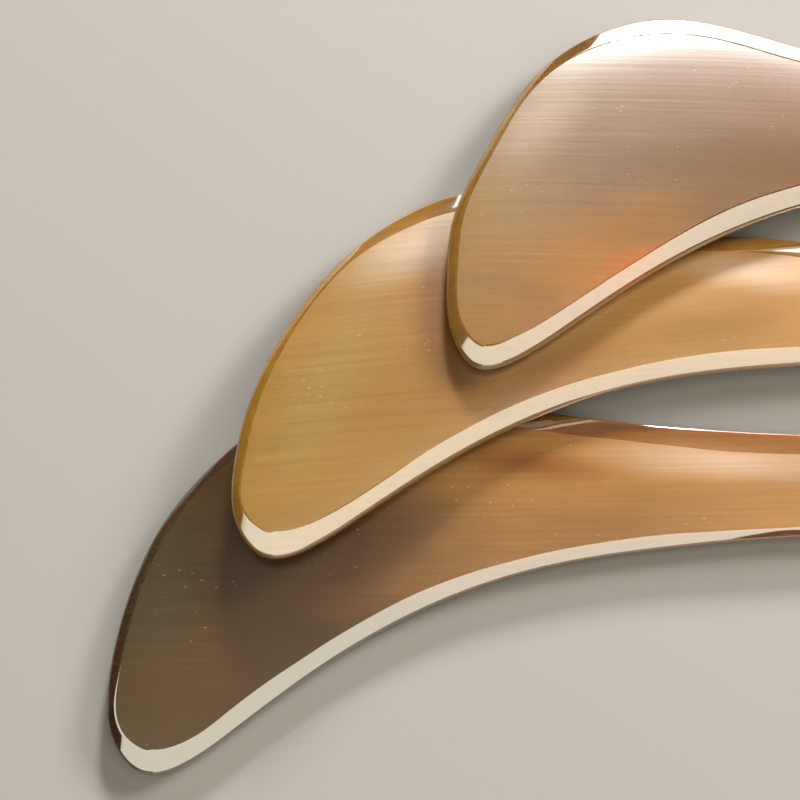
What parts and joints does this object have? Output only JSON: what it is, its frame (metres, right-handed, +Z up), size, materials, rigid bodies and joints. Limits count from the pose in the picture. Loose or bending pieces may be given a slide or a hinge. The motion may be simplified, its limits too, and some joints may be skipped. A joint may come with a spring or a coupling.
{
  "type": "gua sha scraper set",
  "caption": "Fanned set of long S-shaped horn massage scrapers, each a flat plate with a broad rounded head, a hollowed bevelled edge and a narrow rounded tail.",
  "frame": {"origin": "on the surface the set rests on, under the centre of its bounding box", "axes": "+X from the heads towards the tails, +Y from the lower scraper towards the upper one, +Z up out of the faces"},
  "size_m": [0.2526, 0.1704, 0.0166],
  "materials": {
    "lower_horn": "translucent brown olive ox horn, satin faces with fine lengthwise grain, polished edge",
    "middle_horn": "translucent honey ox horn, satin faces with fine lengthwise grain, polished edge",
    "upper_horn": "translucent pale pearly ox horn, satin faces with fine lengthwise grain, polished edge"
  },
  "bodies": {
    "lower": {"lower_scraper": "lower_horn"},
    "middle": {"middle_scraper": "middle_horn"},
    "upper": {"upper_scraper": "upper_horn"}
  },
  "joints": [
    {"name": "middle_lift", "type": "slide", "parent": "lower", "child": "middle", "axis": [0, 0, 1], "range_m": [0, 0.08]},
    {"name": "upper_lift", "type": "slide", "parent": "middle", "child": "upper", "axis": [0, 0, 1], "range_m": [0, 0.08]}
  ]
}
